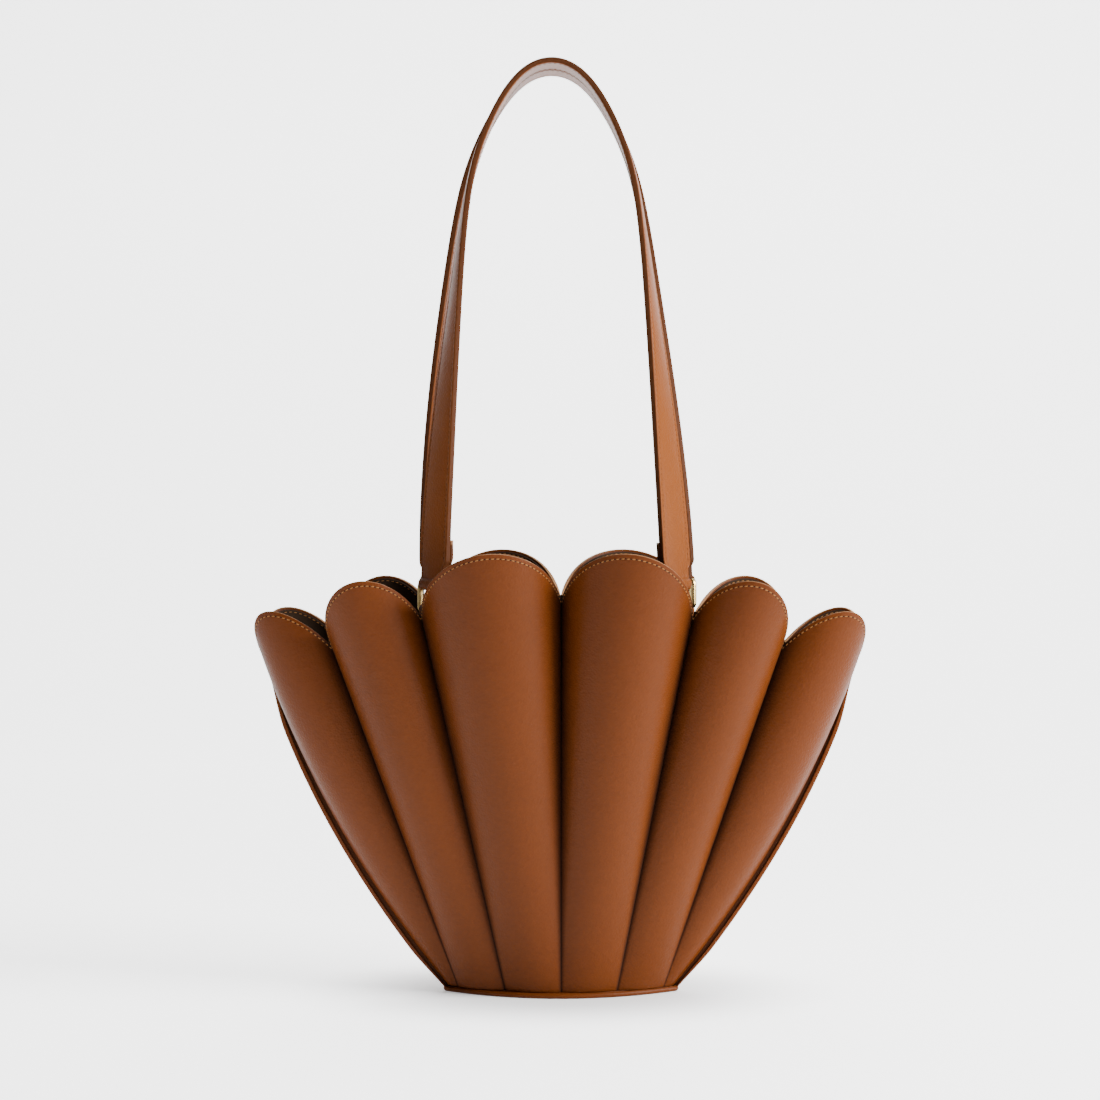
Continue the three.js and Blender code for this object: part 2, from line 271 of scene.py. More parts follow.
def blend(factor, first, second):
    sockets = {0: factor, 6: first, 7: second}
    return Wire.node(factor.tree, "ShaderNodeMix", {"data_type": "RGBA"}, sockets, output=2)


def bump(height, strength, distance):
    sockets = {"Strength": strength, "Distance": distance, "Height": height}
    return Wire.node(height.tree, "ShaderNodeBump", {}, sockets)


def leather(name, colour, edge_colour):
    material, place, surface = new_material(name)
    cloud = noise(place, 14, 3)
    speck = noise(place, 520, 4)
    pores = Wire.node(place.tree, "ShaderNodeTexVoronoi", {}, {"Scale": 1000, "Vector": place})
    edge = attribute(place, "edge")
    fold_shade = attribute(place, "fold_shade")
    # Painted shade: the fold mark darkens the leather in the folds beside seams and in the seam of a
    # binding.
    shade = (0.78 + cloud * 0.2 + speck * 0.24) * (1 - fold_shade * 0.88)
    dyed_and_shaded = blend(edge, colour * shade, edge_colour)
    connect(blend(attribute(place, "raw"), dyed_and_shaded, tan_edge), surface, "Base Color")
    connect(0.36 + speck * 0.12 + edge * 0.2 + fold_shade * 0.4, surface, "Roughness")
    connect(bump(pores * 0.6 + speck * 0.4, 0.5, 0.4 * mm), surface, "Normal")
    surface.inputs["Specular IOR Level"].default_value = 0.09
    return material


panel_leather = leather("panel leather", panel_brown, tan_edge)
strap_leather = leather("strap leather", strap_brown, strap_paint)
trim_leather = leather("trim leather", trim_brown, trim_paint)
print("leathers:", panel_leather.name, strap_leather.name, trim_leather.name)

# %% [markdown]
# The inside is lined with a thin, dark brown suede. It catches hardly any light, so it is rough
# and hardly shines, with a soft, short-napped bump. The same finish, nearly black, is painted
# shade for a needle hole: a dark grain where the hole lies in shade. The loops are polished brass,
# slightly worn by handling, and the thread is matt and twisted. A plain colour would do from
# afar, but close up it looks like plastic.

# %% Suede, brass and thread
def suede(name, colour):
    material, place, surface = new_material(name)
    nap = noise(place, 900, 5)
    cloud = noise(place, 30, 3)
    connect(colour * (0.7 + nap * 0.35 + cloud * 0.25), surface, "Base Color")
    connect(bump(nap, 0.3, 0.3 * mm), surface, "Normal")
    surface.inputs["Roughness"].default_value = 0.9
    surface.inputs["Specular IOR Level"].default_value = 0.08
    return material


def brass(name, colour):
    material, place, surface = new_material(name)
    handling = noise(place, 260, 4)
    brushed = noise(place, 1800, 2)
    connect(colour * (0.92 + handling * 0.16), surface, "Base Color")
    connect(0.16 + handling * 0.14 + brushed * 0.04, surface, "Roughness")
    surface.inputs["Metallic"].default_value = 1
    return material


def thread(name, colour):
    material, place, surface = new_material(name)
    settings = {"bands_direction": "DIAGONAL"}
    sockets = {"Scale": 900, "Distortion": 1.0, "Vector": place}
    twist = Wire.node(place.tree, "ShaderNodeTexWave", settings, sockets, output=1)
    connect(colour * (0.75 + twist * 0.5), surface, "Base Color")
    surface.inputs["Roughness"].default_value = 0.7
    surface.inputs["Specular IOR Level"].default_value = 0.1
    return material


lining_suede = suede("lining suede", (0.03, 0.017, 0.01, 1))
loop_brass = brass("loop brass", (0.66, 0.46, 0.19, 1))
rim_thread = thread("tan thread", (0.22, 0.095, 0.03, 1))
strap_thread = thread("brown thread", (0.06, 0.02, 0.006, 1))
# Painted shade: nearly black grains stand for the shade inside the needle holes.
hole_shade = suede("needle hole", (0.02, 0.009, 0.005, 1))
print("others:", lining_suede.name, loop_brass.name, rim_thread.name, strap_thread.name)

# %% [markdown]
# Each flute is cut from one piece of leather and stands as an arc between its two seams.
# At the base the arc is nearly flat, and at the mouth it is almost a half circle, so the
# flute is a piece of a cone. The arcs are worked out for all points at once with numpy.
# Beyond the line of its seams a flute runs on upwards, and its top follows a cosine: the scallop.
# Neighbours meet at the plane that halves the angle between them, and share a hair's breadth
# there, so that no light comes through a seam.

# %% The surface of a flute
seam_overlap = 0.03 * mm
seam_edge = 0.99


def mix(low, high, share):
    return low + (high - low) * share


def unit(vectors):
    return vectors / np.linalg.norm(vectors, axis=-1, keepdims=True)


def seam_points(place, up):
    """Points of a seam at shares of its height, with the middle seam at place 0."""
    row = seams[abs(place)]
    bow = row.bow * side_bow * (1 - (2 * up - 1) ** 2)
    reach = mix(row.foot * foot_length, row.mouth * mouth_width, up) / 2 + bow
    depth = mix(row.foot_depth * foot_depth, row.mouth_depth * mouth_depth, up) / 2
    height = mix(wall_foot, row.height * bag_height, up)
    sideways = np.sign(place) * reach + row.shift * mouth_shift * up
    return np.stack([sideways, -depth, height], axis=-1)


def chord(place, up):
    """The level line between the seams of a flute: middle, directions along and out, half length."""
    left = seam_points(place, up)
    right = seam_points(place + 1, up)
    along = unit(right - left)
    out = unit(np.stack([along[..., 1], -along[..., 0], 0 * up], axis=-1))
    return (left + right) / 2, along, out, np.linalg.norm(right - left, axis=-1) / 2


def keep_clear(points, place, up, side):
    """Keep points from passing the plane where two flutes meet by more than their overlap."""
    out = np.stack([np.sign(place) + 0 * up, 0 * up, 0 * up], axis=-1)
    if abs(place) < side_place:
        out = unit(chord(place - 1, up)[2] + chord(place, up)[2])
    sideways = side * np.stack([-out[..., 1], out[..., 0], 0 * up], axis=-1)
    clearance = np.sum((points - seam_points(place, up)) * sideways, axis=-1)
    return points + sideways * np.maximum(-seam_overlap - clearance, 0)[..., None]


def flute_points(place, up, across, inset):
    """Points of a flute, across it from -1 to 1, at a depth below its outer face."""
    up, across, inset = np.broadcast_arrays(up, across, inset)
    middle, along, out, half = chord(place, up)
    bulge = 2 * half * mix(foot_bulge, mouth_bulge, np.maximum(up, 0) ** bulge_growth)
    radius = (half**2 + bulge**2) / (2 * bulge)
    angle = across * 2 * np.arctan(bulge / half)
    outwards = bulge - radius + (radius - inset) * np.cos(angle)
    overlap = seam_overlap * np.sign(across) * (np.abs(across) > seam_edge)
    sideways = (radius - inset) * np.sin(angle) + overlap
    points = middle + out * outwards[..., None] + along * sideways[..., None]
    points = keep_clear(points, place, up, 1)
    return keep_clear(points, place + 1, up, -1)


def scallop_top(place, across, drop):
    """How far up a flute goes, as a share of its seams, at places across it."""
    height = chord(place, np.array(1.0))[0][2] - wall_foot
    scallop = scallops[min(abs(place), abs(place + 1))]
    rise = scallop * scallop_height * np.cos(math.pi / 2 * across)
    return (height + rise - drop) / height


print("middle scallop rises to share", round(float(scallop_top(0, np.array(0.0), 0)), 3))

# %% [markdown]
# The wall of a flute is skinned from many upright sections side by side. Each section goes up the
# outer face, over the cut edge, which is slightly rounded, and down the inner face.
# Solidify could add the thickness, but it can't keep the cut edge level or mark it for
# the material. The fold beside a seam is darkened with painted shade, darkest at the seam, and the
# band is wider towards the mouth.
# The back panel is the front one turned half round, as the bag looks the same from behind.

# %% Walls of leather and suede
flute_across = 41
flute_up = 60
leather_rounding = 0.5 * mm
fold_shade_start_foot = 0.9
fold_shade_start_mouth = 0.66
fold_shade_growth = 1.6
side_fold_shade_share = 0.4
lining_thickness = 0.8 * mm
lining_inset = leather_thickness + seam_gap
lining_outer = lining_inset - 0.25 * mm
lining_inner = lining_inset + lining_thickness
lining_drop = 1.2 * mm
lining_start = 0.03
lining_rounding = 0.3 * mm
half_turn = np.array([-1, -1, 1])


def fold_shade_mark(place, across, up):
    """How deep in a fold a point lies, which sets how much painted shade darkens it. The side seams have
    shallower folds.
    """
    between_flutes = np.where(across < 0, abs(place) < side_place, abs(place + 1) < side_place)
    depth = mix(side_fold_shade_share, 1, between_flutes)
    start = mix(fold_shade_start_foot, fold_shade_start_mouth, np.clip(fold_shade_growth * up, 0, 1))
    return depth * np.clip((np.abs(across) - start) / (1 - start), 0, 1) ** 1.3


def wall(name, place, outer, inner, drop, start, rounding, turned):
    across = np.sin(np.linspace(-1, 1, flute_across) * math.pi / 2)[:, None]
    shares = np.linspace(start, 1, flute_up)[None, :-1]
    turn = np.radians(np.linspace(0, 90, 6))[None, :]
    rising = shares * scallop_top(place, across, drop + rounding)
    crown = scallop_top(place, across, drop + rounding * (1 - np.sin(turn)))
    flat = 0 * shares
    edge = rounding * (1 - np.cos(turn))
    inset = [flat + outer, outer + edge, inner - edge[:, ::-1], flat + inner]
    up = np.concatenate([rising, crown, crown[:, ::-1], rising[:, ::-1]], axis=1)
    points = flute_points(place, up, across, np.concatenate(inset, axis=1))
    made = body(name, points * half_turn if turned else points)
    cut = [flat, np.sin(turn) ** 2, np.sin(turn[:, ::-1]) ** 2, flat]
    mark(made, "edge", np.concatenate(cut, axis=1) + 0 * up)
    # Painted shade: the fold mark darkens the leather beside each seam, where the flutes shade each other.
    mark(made, "fold_shade", fold_shade_mark(place, across, up))
    return made


def flute(panel, number, place, turned):
    name = f"{panel}_flute_{number}"
    made = wall(f"{name}_leather", place, 0, leather_thickness, 0, 0, leather_rounding, turned)
    dress(made, panel_leather, name)
    return made


def lining(panel, number, place, turned):
    name = f"{panel}_lining_{number}"
    made = wall(
        f"{name}_suede", place, lining_outer, lining_inner,
        lining_drop, lining_start, lining_rounding, turned,
    )
    dress(made, lining_suede, name)
    return made


for panel, turned in panels:
    for number, place in enumerate(places, start=1):
        flute_made = flute(panel, number, place, turned)
        lining(panel, number, place, turned)
print("flutes:", 2 * len(places), "points in each:", len(flute_made.data.vertices))

# %% [markdown]
# A line of stitches follows every scallop just under its edge, outside and inside. At this
# scale a stitch is a short, plump grain of thread that dips into a needle hole at both ends.
# A texture can't cast the tiny shadows that make a seam look sewn, so each stitch is a
# small mesh, and all the stitches of a seam are joined. The needle holes are painted shade:
# flat, nearly black grains half a stitch further on, where a hole would lie in shade.

# %% Stitches
Grain = namedtuple("Grain", "length width height shift slant")
stitch = Grain(length=1.6 * mm, width=0.55 * mm, height=0.42 * mm, shift=0, slant=0.12)
rim_hole_shade = Grain(length=1.1 * mm, width=0.6 * mm, height=0.16 * mm, shift=0.5, slant=0)
strap_hole_shade = Grain(length=1.4 * mm, width=0.8 * mm, height=0.2 * mm, shift=0.5, slant=0)
stitch_pitch = 2.5 * mm
grain_sink = 0.02 * mm
grain_around = 6
grain_along = 5
grain_faces = grain_around * (grain_along - 1) + 2


def grain_shape():
    """A spindle of unit length along X and unit width, as points and faces."""
    turn = np.linspace(0, 2 * math.pi, grain_around, endpoint=False)
    along = np.linspace(-0.5, 0.5, grain_along)
    width = 0.5 * np.sqrt(np.maximum(1 - (2 * along) ** 2, 0.02)) ** 0.6
    points = [(x, w * math.cos(a), w * math.sin(a)) for x, w in zip(along, width) for a in turn]
    faces = []
    for i in range(grain_along - 1):
        here, next_row = i * grain_around, (i + 1) * grain_around
        for j in range(grain_around):
            k = (j + 1) % grain_around
            faces.append([here + j, here + k, next_row + k, next_row + j])
    faces.append(list(range(grain_around))[::-1])
    faces.append([(grain_along - 1) * grain_around + j for j in range(grain_around)])
    return np.array(points), faces


def along_line(line, travelled, where):
    """Values of a line of points at distances along it."""
    return np.stack([np.interp(where, travelled, line[:, k]) for k in range(3)], axis=-1)


def distances(line):
    steps = np.linalg.norm(np.diff(line, axis=0), axis=1)
    return np.concatenate([[0], np.cumsum(steps)])


def spaced(line, normals, pitch):
    """Points, directions and normals at even steps along a line of points."""
    travelled = distances(line)
    count = max(int(travelled[-1] / pitch), 1)
    where = (np.arange(count) + 0.5) * travelled[-1] / count
    ahead = along_line(line, travelled, where + pitch / 4)
    behind = along_line(line, travelled, where - pitch / 4)
    up = unit(along_line(normals, travelled, where))
    return along_line(line, travelled, where), unit(ahead - behind), up


def grains(name, lines, material, grain):
    """Join one grain for each step of many lines into one mesh object."""
    shape, faces = grain_shape()
    points, joined = [], []
    for line, normals in lines:
        at, along, up = spaced(line, normals, stitch_pitch)
        base = at + along * (grain.shift * stitch_pitch) - up * grain_sink
        beside = unit(np.cross(up, along))
        heading = unit(along + beside * grain.slant)
        beside = unit(np.cross(up, heading))
        made = (
            base[:, None]
            + heading[:, None] * shape[None, :, 0:1] * grain.length
            + beside[:, None] * shape[None, :, 1:2] * grain.width
            + up[:, None] * shape[None, :, 2:3] * grain.height
        )
        for one in made:
            start = len(points) * len(shape)
            points.append(one)
            joined.extend([[start + j for j in face] for face in faces])
    mesh = bpy.data.meshes.new(name)
    mesh.from_pydata(np.concatenate(points).tolist(), [], joined)
    mesh.shade_smooth()
    mesh.materials.append(material)
    made = add_object(name, mesh)
    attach(made, "root")
    return made


rim_seam_drop = 2.4 * mm
rim_seam_reach = 0.985
rim_seam_samples = 200


def rim_line(place, inset, turned):
    """The seam under the scallop of one flute, and the directions out of its face."""
    across = np.linspace(-rim_seam_reach, rim_seam_reach, rim_seam_samples)
    up = scallop_top(place, across, rim_seam_drop)
    points = flute_points(place, up, across, inset)
    out = unit(points - flute_points(place, up, across, inset + 1 * mm))
    return (points * half_turn, out * half_turn) if turned else (points, out)


def sew_rim(panel, turned):
    outside = [rim_line(place, 0, turned) for place in places]
    inside = [rim_line(place, lining_inner, turned) for place in places]
    inside = [(points, -out) for points, out in inside]
    for side, lines in (("outer", outside), ("inner", inside)):
        name = f"{panel}_rim_{side}"
        stitches = grains(f"{name}_stitches", lines, rim_thread, stitch)
        grains(f"{name}_holes", lines, hole_shade, rim_hole_shade)
    return stitches


for panel, turned in panels:
    rim_stitches = sew_rim(panel, turned)
print("rim stitches in one seam:", len(rim_stitches.data.polygons) // grain_faces)

# %% [markdown]
# The side seams are bound with two narrow plies of leather that stand out like a fin. They are
# separate strips with a fine line between them, each with a rounded outer edge, so they are
# swept along the seam rather than cut from one block. A thin tongue of each ply lies in the
# seam, darkened with painted shade, and the ply narrows at the mouth and above the base.

# %% Side bindings
binding_offset = 1 * mm
binding_reach = 3.5 * mm
binding_thickness = 3.2 * mm
binding_start = -0.006
binding_top = 0.985
binding_taper = 0.8
binding_foot = 0.12
binding_foot_share = 0.8
binding_end_reach = 1.2 * mm
binding_rows = 70
tongue_start = -1.6 * mm
tongue_half = 0.4 * mm
rim_start = 1.1 * mm
ply_gap = 0.04 * mm
rim_swell = 0.12
rim_round = 0.25
ply_steps = np.array([0, 0.5, 0.98, 1, 1.04, 1.12, 1.25, 1.5, 1.75, 1.88, 1.96, 2])


def ply_reach(up):
    """How far a ply stands out, at shares of the height of its seam."""
    near_top = np.clip((up - binding_taper) / (binding_top - binding_taper), 0, 1)
    near_foot = np.clip(1 - up / binding_foot, 0, 1)
    ends = np.maximum(near_top, binding_foot_share * near_foot)
    return mix(binding_reach, binding_end_reach, ends * ends * (3 - 2 * ends))


def ply_thickness():
    """How thick a ply is at each of its steps: up to 1 the tongue, from 1 to 2 the rim."""
    half = binding_thickness / 2
    round_start = 2 - rim_round
    past = (np.maximum(ply_steps, round_start) - round_start) / rim_round
    rounding = np.sqrt(np.clip(1 - past**2, 0, 1))
    swell = np.sqrt(np.clip((ply_steps - 1) / rim_swell, 0, 1))
    high = np.where(ply_steps > 1, mix(tongue_half, half, swell), tongue_half)
    return np.where(ply_steps > round_start, half * mix(0.55, 1, rounding), high)


def ply(name, side, turned):
    """One ply of a binding: a thin tongue in the seam and a thicker rim outside it."""
    up = np.linspace(binding_start, binding_top, binding_rows)
    centre = seam_points(side_place, up)
    reach = ply_reach(up)
    rim_share = rim_start / binding_reach
    tongue_length = binding_offset + rim_share * reach - tongue_start
    tongue = tongue_start + tongue_length[:, None] * np.minimum(ply_steps, 1)
    rim = (reach * (1 - rim_share))[:, None] * np.maximum(ply_steps - 1, 0)
    x = centre[:, 0, None] + tongue + rim
    x = np.concatenate([x, x[:, ::-1]], axis=1)
    high = ply_thickness()
    y = side * np.concatenate([0 * high + ply_gap, high[::-1]])[None, :] + 0 * x
    z = centre[:, 2, None] + 0 * x
    points = np.stack([x, y, z], axis=-1)
    made = body(name, points * half_turn if turned else points, sharp=60)
    both = np.concatenate([ply_steps, ply_steps[::-1]])
    # Painted shade: the tongue in the seam is darkened, as the recess between the fin and the flute lies
    # in shade.
    mark(made, "fold_shade", 0.7 * np.clip(1 - (both - 0.98) / 0.04, 0, 1) + 0 * x)
    mark(made, "edge", np.clip((both - 2 + rim_round) / rim_round, 0, 1) + 0 * x)
    return made


def binding(word, turned):
    name = f"side_binding_{word}"
    front = 1 if turned else -1
    front_ply = ply(f"{name}_front_ply", front, turned)
    dress(front_ply, trim_leather, name)
    back_ply = ply(f"{name}_back_ply", -front, turned)
    dress(back_ply, trim_leather)
    return front_ply


binding("right", False)
left_ply = binding("left", True)
print("binding height:", round(float(np.ptp([v.co.z for v in left_ply.data.vertices])), 4))

# %% [markdown]
# The base is a stiff lens of leather with a rolled bead of thin leather round it. The bead
# is a round tube whose path is the outline of the base, pushed outwards. The tips of the
# lens turn in a small arc, as a bead can't be folded to a point.

# %% Base
base_overhang = 1.2 * mm
base_tip_inset = 2 * mm
base_rounding = 0.3 * mm
bead_radius = base_thickness / 2
bead_around = 18


def base_outline(outset, along=90, tip_steps=14):
    """The lens of the base pushed outwards, and its outward directions."""
    long, deep = foot_length / 2 - base_tip_inset, foot_depth / 2
    share = np.linspace(-1, 1, along)
    points = np.stack([share * long, -deep * (1 - share**2), 0 * share], axis=-1)
    out = unit(np.stack([2 * share * deep / long, -1 + 0 * share, 0 * share], axis=-1))
    tip = math.atan2(out[-1, 1], out[-1, 0])
    turn = np.linspace(tip, -tip, tip_steps)[1:-1]
    tip_out = np.stack([np.cos(turn), np.sin(turn), 0 * turn], axis=-1)
    points = np.concatenate([points, points[-1:] + 0 * tip_out])
    out = np.concatenate([out, tip_out])
    points, out = np.concatenate([points, -points]), np.concatenate([out, -out])
    return points + out * outset, out


def slab(name, outline, thickness, rounding):
    """A flat plate with rounded rims, as rings of its outline joined in height order."""
    reach = np.linalg.norm(outline - outline.mean(axis=0), axis=1).max()
    turn = np.radians(np.linspace(0, 90, 4))
    lift = rounding * (1 - np.sin(turn))
    inset = rounding * (1 - np.cos(turn))
    heights = np.concatenate([lift[::-1], thickness - lift])
    insets = np.concatenate([inset[::-1], inset])
    rings = [outline * (1 - i / reach) + np.array([0, 0, h]) for h, i in zip(heights, insets)]
    return body(name, np.array(rings))


def base_bead(name):
    line, out = base_outline(base_overhang + seam_gap + bead_radius)
    turn = np.linspace(0, 2 * math.pi, bead_around, endpoint=False)
    sections = (
        line[:, None]
        + out[:, None] * (bead_radius * np.sin(turn))[None, :, None]
        + np.array([0, 0, 1]) * (bead_radius * (1 + np.cos(turn)))[None, :, None]
    )
    return body(name, sections, ring=True, sharp=80)


base = slab("base_panel_leather", base_outline(base_overhang)[0], base_thickness, base_rounding)
dress(base, trim_leather, "base_panel")
bead = base_bead("base_bead")
dress(bead, trim_leather, "base_welt")
print("base length:", round(float(np.ptp([v.co.x for v in bead.data.vertices])), 4))

# %% [markdown]
# The loops are cast brass rectangles with soft edges. Each stands upright beside an inner seam
# and is turned away from the width of the bag, so from the front it shows mostly edge-on. The
# four don't stand quite alike, as on any bag that has been handled. Each is a rounded section
# swept round a rounded rectangle, which keeps its bars equally thick. A cube with bevels
# would need a hole cut in it.

# %% Loops
loop_inner_width = 19 * mm
loop_inner_height = 9.8 * mm
loop_bar = 2.6 * mm
loop_depth = 2.2 * mm
loop_clearance = 1.6 * mm
loop_corner = 0.55 * loop_bar
loop_rounding = 0.55 * mm
loop_turn = math.radians(52)
loop_slides = {"front": (1.6 * mm, 4.8 * mm), "back": (4.3 * mm, -7.5 * mm)}
tab_ply = 1 * mm
bar_offset = (loop_inner_height + loop_bar) / 2
loop_height = seams[1].height * bag_height + loop_clearance + loop_bar + loop_inner_height / 2
hole_across = loop_depth / 2 + seam_gap
hole_up = loop_bar / 2 + seam_gap
tube_start = hole_up + seam_gap
tab_reach = hole_across + tab_ply

LoopPlace = namedtuple("LoopPlace", "side centre bar out")


def loop_place(side, slide):
    bar = np.array([side * math.cos(loop_turn), math.sin(loop_turn), 0])
    out = np.array([side * math.sin(loop_turn), -math.cos(loop_turn), 0])
    centre = seam_points(side, np.array(1.0))
    centre[0] -= side * lining_inner
    centre = centre - bar * slide - out * (tab_reach + seam_gap)
    centre[2] = loop_height
    return LoopPlace(side, centre, bar, out)


def as_placed(place, turned):
    """Give a loop's place as it is in the front panel, or turned half round for the back one."""
    flip = half_turn if turned else np.ones(3)
    return LoopPlace(place.side, place.centre * flip, place.bar * flip, place.out * flip)


def side_word(place):
    return "left" if place.centre[0] < 0 else "right"


def rounded(half_wide, half_high, corner, steps=5):
    """A rounded rectangle, anticlockwise, from the left end of its lower side."""
    arcs = []
    for x, y, start in ((1, -1, -90), (1, 1, 0), (-1, 1, 90), (-1, -1, 180)):
        turn = np.radians(np.linspace(start, start + 90, steps))
        across = x * (half_wide - corner) + corner * np.cos(turn)
        up = y * (half_high - corner) + corner * np.sin(turn)
        arcs.append(np.stack([across, up], axis=-1))
    return np.roll(np.concatenate(arcs), steps, axis=0)


def ring_path(half_wide, half_high, corner, steps):
    """Points and outward directions of a rounded rectangle in its own plane."""
    line = rounded(half_wide, half_high, corner, steps)
    core = np.array([half_wide - corner, half_high - corner])
    return line, unit(line - np.clip(line, -core, core))


def brass_loop(name, place):
    line, out = ring_path((loop_inner_width + loop_bar) / 2, bar_offset, loop_corner, 9)
    section = rounded(loop_bar / 2, loop_depth / 2, loop_rounding)
    plane = line[:, None] + out[:, None] * section[None, :, 0:1]
    forward = section[None, :, 1] + 0 * plane[..., 0]
    points = (
        place.centre
        + plane[..., 0:1] * place.bar * place.side
        + plane[..., 1:2] * np.array([0, 0, 1])
        + forward[..., None] * place.out
    )
    return body(name, points[:, ::-1], ring=True, sharp=50)


loop_places = {}
for panel, turned in panels:
    loop_places[panel] = [loop_place(*pair) for pair in zip((-1, 1), loop_slides[panel])]
    for place in loop_places[panel]:
        placed = as_placed(place, turned)
        node = f"{panel}_loop_{side_word(placed)}"
        dress(brass_loop(f"{node}_brass", placed), loop_brass, node)
print("loops at height", round(loop_height, 4))

# %% [markdown]
# A tab and the end of a strap both go round a bar of a loop. That part is a ring of leather,
# swept round the bar. Below it the tab runs down beside the seam, as a flat strip that
# leans the way the seam leans, and so it stays clear of the lining. Its free end is
# narrowed, so that it slips in behind the lining easily.

# %% Tabs
strap_end_width = 18 * mm
tab_length = 22 * mm
tab_rows = 16
tab_corner = 0.35 * mm
tab_end_share = 0.8
tab_end_taper = 8 * mm


def bar_ring(name, place, thickness, lift):
    """A ply of leather that goes round a bar of a loop."""
    half_across = hole_across + thickness / 2
    line, out = ring_path(hole_up + thickness / 2, half_across, half_across * 0.9, 7)
    section = rounded(thickness / 2, strap_end_width / 2, thickness * 0.3, 4)
    plane = line[:, None] + out[:, None] * section[None, :, 0:1]
    sideways = section[None, :, 1:2] + 0 * plane[..., 0:1]
    points = (
        place.centre
        + np.array([0, 0, lift])
        + plane[..., 0:1] * np.array([0, 0, 1])
        + plane[..., 1:2] * place.out
        + sideways * place.bar * place.side
    )
    made = body(name, points, ring=True, sharp=50)
    mark(made, "edge", np.clip(np.abs(sideways) / (strap_end_width / 2) * 30 - 29, 0, 1))
    return made


def strip(centres, across, out, half, inner, outer, corner, dome=0.0):
    """Sections of a flat strip along centre points, and how near each point is to an edge."""
    turn = np.radians(np.linspace(0, 90, 5))
    left = corner * (1 - np.cos(turn)) - half[:, None]
    inside = (half[:, None] - corner) * np.linspace(-1, 1, 25)[None, 1:-1]
    wide = np.concatenate([left, inside, -left[:, ::-1]], axis=1)
    sink = 1 - np.sin(turn)
    sink = np.concatenate([sink, np.zeros(inside.shape[1]), sink[::-1]])
    share = np.abs(wide) / half[:, None]
    groove = 0.5 * np.exp(-(((share - 0.82) / 0.06) ** 2))
    rise = dome * (np.clip(1 - (share / 0.72) ** 2, 0, 1) - groove)
    low = inner + corner * sink + 0 * wide
    high = outer - corner * sink + rise
    high = np.concatenate([low, high[:, ::-1]], axis=1)
    wide = np.concatenate([wide, wide[:, ::-1]], axis=1)
    near = np.concatenate([sink, sink[::-1]])[None, :] + 0 * wide
    points = centres[:, None] + across[:, None] * wide[..., None] + out[:, None] * high[..., None]
    return points, np.clip(near * 1.4, 0, 1)


def tab_tail(name, place, placed, turned):
    down = seam_points(place.side, np.array(0.0)) - seam_points(place.side, np.array(1.0))
    reach = np.linspace(tube_start, tab_length, tab_rows)
    start = place.centre - np.array([0, 0, bar_offset + tube_start])
    centres = start + down * ((reach - tube_start) / -down[2])[:, None]
    half = strap_end_width / 2 * np.minimum(1, tab_end_share + (tab_length - reach) / tab_end_taper)
    rows = np.ones((tab_rows, 1))
    points, near = strip(
        centres * half_turn if turned else centres,
        rows * placed.bar * placed.side, rows * placed.out,
        half, tab_reach - 2 * tab_ply, tab_reach, tab_corner,
    )
    made = body(name, points, sharp=50)
    mark(made, "edge", near)
    return made


for panel, turned in panels:
    for place in loop_places[panel]:
        placed = as_placed(place, turned)
        node = f"{panel}_tab_{side_word(placed)}"
        ring = bar_ring(f"{node}_ring", placed, tab_ply, -bar_offset)
        tail = tab_tail(f"{node}_tail", place, placed, turned)
        dress(ring, trim_leather, node)
        dress(tail, trim_leather)
print("tabs reach down to", round(min(v.co.z for v in tail.data.vertices), 4))

# %% [markdown]
# Each strap is one long band of two plies, stitched along both edges. It rises from its two
# loops, leans towards the other strap and arches over. At the loops its face is turned out
# towards a corner of the bag, and at the top of the arch it looks straight up, so the band
# twists on the way. Its path goes smoothly through a few points of its legs. A curve object
# could carry it, but its twist could not be set so freely.

# %% The path of a strap
strap_width = 22 * mm
strap_rise = 251.5 * mm
strap_gap = 1 * mm
strap_twist = 2.5
strap_spacing = 1.5 * mm
strap_top_shifts = {"front": -4.6 * mm, "back": 4.6 * mm}
leg_sways = {"front": (0, 0), "back": (0, 3 * mm)}
leg_rise = np.array([0, 0.14, 0.34, 0.53, 0.72, 0.83, 0.93, 0.985])
leg_spread = np.array([1, 0.968, 0.9, 0.82, 0.722, 0.61, 0.41, 0.2])

StrapPath = namedtuple("StrapPath", "centres along across out where length")


def smooth_line(points, count):
    """A smooth line through points, with its knots as far apart as the square roots of its steps."""
    knots = np.concatenate([[0], np.cumsum(np.sqrt(np.linalg.norm(np.diff(points, axis=0), axis=1)))])
    size = len(knots)
    gaps = np.diff(knots)
    steps = np.diff(points, axis=0) / gaps[:, None]
    matrix, target = np.eye(size), np.zeros((size, 3))
    for i in range(1, size - 1):
        matrix[i, i - 1:i + 2] = gaps[i - 1], 2 * (gaps[i - 1] + gaps[i]), gaps[i]
        target[i] = 6 * (steps[i] - steps[i - 1])
    bend = np.linalg.solve(matrix, target)
    at = np.linspace(0, knots[-1], count)
    i = np.clip(np.searchsorted(knots, at, side="right") - 1, 0, size - 2)
    gap, near, far = gaps[i, None], (at - knots[i])[:, None], (knots[i + 1] - at)[:, None]
    return (
        bend[i] * far**3 / (6 * gap) + bend[i + 1] * near**3 / (6 * gap)
        + (points[i] / gap - bend[i] * gap / 6) * far
        + (points[i + 1] / gap - bend[i + 1] * gap / 6) * near
    )


def leg_points(place, middle, shift, sway):
    depth = -(strap_width + strap_gap) / 2
    bow = place.side * sway * np.sin(math.pi * leg_rise)
    sideways = mix(middle, shift, leg_rise) + (place.centre[0] - middle) * leg_spread + bow
    height = loop_height + bar_offset + strap_rise * leg_rise
    return np.stack([sideways, mix(place.centre[1], depth, leg_rise), height], axis=-1)


